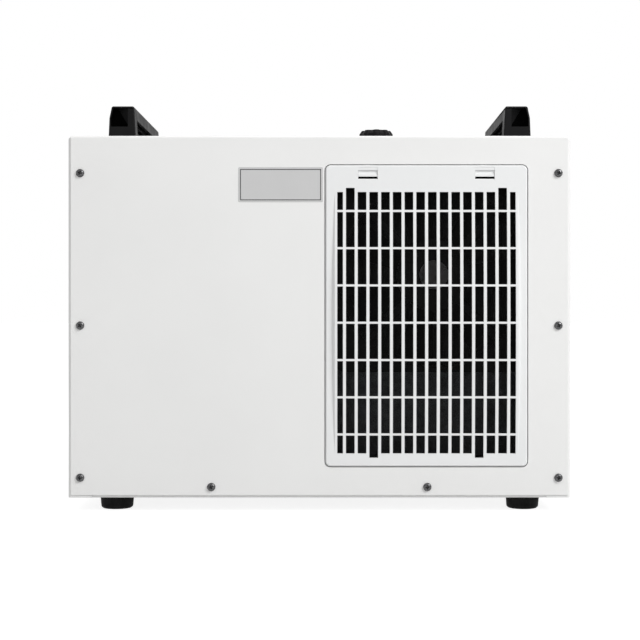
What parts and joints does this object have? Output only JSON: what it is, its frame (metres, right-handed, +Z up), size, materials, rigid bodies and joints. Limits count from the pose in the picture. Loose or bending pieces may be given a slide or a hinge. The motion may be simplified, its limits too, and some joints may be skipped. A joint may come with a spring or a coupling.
{
  "type": "recirculating chiller",
  "caption": "Bench-top recirculating water chiller: folded white casing with a crowned filter grille, bridge handles, fill cap, rear water fittings and an end controller.",
  "frame": {"origin": "centre of the bounding box in plan, on the surface that the feet stand on", "axes": "+X along the casing towards the controller end, +Y away from the filter panel, +Z up"},
  "size_m": [0.6085, 0.3025, 0.474],
  "materials": {
    "casing_paint": "satin white powder coat",
    "moulded_white": "satin",
    "moulded_black": "fine grained black",
    "gauze_black": "matt black mesh",
    "foot_rubber": "matt",
    "clear_hose": "satin",
    "seal_rubber": "matt",
    "screw_steel": "bright zinc",
    "zinc_steel": "galvanised",
    "tank_steel": "brushed stainless",
    "black_shell": "semi-gloss black",
    "fin_aluminium": "mill",
    "line_copper": "bright copper",
    "fitting_brass": "satin nickel brass",
    "gauge_clear": "clear",
    "window_dark": "tinted",
    "fascia_grey": "satin",
    "key_grey": "satin",
    "board_plastic": "satin",
    "core_iron": "lacquered laminations"
  },
  "bodies": {
    "case": {"base_tray": "casing_paint", "cover": "casing_paint", "front_panel": "casing_paint", "rear_panel": "casing_paint", "cover_screws": "screw_steel", "filter_seat": "casing_paint", "handle_front": "moulded_black", "handle_rear": "moulded_black", "feet": "foot_rubber", "underside_screws": "screw_steel", "filler_neck": "moulded_black", "neck_nut": "moulded_black", "fan_frame": "black_shell", "fan_shroud": "zinc_steel", "condenser": "fin_aluminium", "tank": "tank_steel", "tank_lid": "tank_steel", "evaporator_plate": "tank_steel", "compressor": "black_shell", "compressor_mounts": "foot_rubber", "terminal_cover": "moulded_black", "pump": "black_shell", "outlet_hose": "clear_hose", "return_hose": "clear_hose", "drain_hose": "clear_hose", "discharge_line": "line_copper", "condensate_line": "line_copper", "filter_drier": "line_copper", "liquid_line": "line_copper", "suction_line": "line_copper", "water_outlet": "fitting_brass", "water_inlet": "fitting_brass", "drain_fitting": "fitting_brass", "fitting_nuts": "fitting_brass", "level_gauge": "moulded_black", "gauge_tube": "gauge_clear", "gauge_hoses": "clear_hose", "alarm_socket": "moulded_black", "power_inlet": "moulded_black", "controller_fascia": "fascia_grey", "display_window": "window_dark", "controller_body": "board_plastic", "electrical_plate": "zinc_steel", "transformer": "core_iron", "terminal_block": "board_plastic"},
    "filter_door": {"filter_panel": "moulded_white", "filter_gauze": "gauze_black"},
    "left_latch": {"latch_left": "moulded_white"},
    "right_latch": {"latch_right": "moulded_white"},
    "rotor": {"fan_rotor": "moulded_black"},
    "cap_lift": {"cap_seal": "seal_rubber"},
    "cap": {"fill_cap": "moulded_black"},
    "drain_lift": {"drain_washer": "seal_rubber"},
    "drain": {"drain_cap": "moulded_black"},
    "rocker": {"switch_rocker": "moulded_black"},
    "fuses": {"fuse_drawer": "moulded_black"},
    "set_button": {"button_set": "key_grey"},
    "up_button": {"button_up": "key_grey"},
    "down_button": {"button_down": "key_grey"},
    "reset_button": {"button_reset": "key_grey"}
  },
  "joints": [
    {"name": "fan_spin", "type": "hinge", "parent": "case", "child": "rotor", "pos_m": [0.133, -0.0965, 0.275], "axis": [0, -1, 0], "continuous": true},
    {"name": "panel_pull", "type": "slide", "parent": "case", "child": "filter_door", "axis": [0, -1, 0], "range_m": [0, 0.06]},
    {"name": "left_latch_slide", "type": "slide", "parent": "filter_door", "child": "left_latch", "axis": [0, 0, -1], "range_m": [0, 0.0022], "stiffness_N_per_m": 400, "springref_m": -0.001},
    {"name": "right_latch_slide", "type": "slide", "parent": "filter_door", "child": "right_latch", "axis": [0, 0, -1], "range_m": [0, 0.0022], "stiffness_N_per_m": 400, "springref_m": -0.001},
    {"name": "cap_rise", "type": "slide", "parent": "case", "child": "cap_lift", "axis": [0, 0, 1], "range_m": [0, 0.009]},
    {"name": "cap_turn", "type": "hinge", "parent": "cap_lift", "child": "cap", "pos_m": [0.0695, 0, 0.448], "axis": [0, 0, 1], "range_deg": [0, 720]},
    {"name": "drain_rise", "type": "slide", "parent": "case", "child": "drain_lift", "axis": [-1, 0, 0], "range_m": [0, 0.006]},
    {"name": "drain_turn", "type": "hinge", "parent": "drain_lift", "child": "drain", "pos_m": [-0.3, 0.1, 0.038], "axis": [-1, 0, 0], "range_deg": [0, 720]},
    {"name": "rocker_tilt", "type": "hinge", "parent": "case", "child": "rocker", "pos_m": [-0.2895, -0.08, 0.371], "axis": [0, -1, 0], "range_deg": [0, 20]},
    {"name": "fuse_slide", "type": "slide", "parent": "case", "child": "fuses", "axis": [-1, 0, 0], "range_m": [0, 0.018]},
    {"name": "set_press", "type": "slide", "parent": "case", "child": "set_button", "axis": [-1, 0, 0], "range_m": [0, 0.001], "stiffness_N_per_m": 500, "springref_m": -0.0005},
    {"name": "up_press", "type": "slide", "parent": "case", "child": "up_button", "axis": [-1, 0, 0], "range_m": [0, 0.001], "stiffness_N_per_m": 500, "springref_m": -0.0005},
    {"name": "down_press", "type": "slide", "parent": "case", "child": "down_button", "axis": [-1, 0, 0], "range_m": [0, 0.001], "stiffness_N_per_m": 500, "springref_m": -0.0005},
    {"name": "reset_press", "type": "slide", "parent": "case", "child": "reset_button", "axis": [-1, 0, 0], "range_m": [0, 0.001], "stiffness_N_per_m": 500, "springref_m": -0.0005}
  ],
  "couplings": [
    {"joint": "cap_rise", "follows": "cap_turn", "m_per_rad": 0.0007162},
    {"joint": "drain_rise", "follows": "drain_turn", "m_per_rad": 0.00047746}
  ]
}
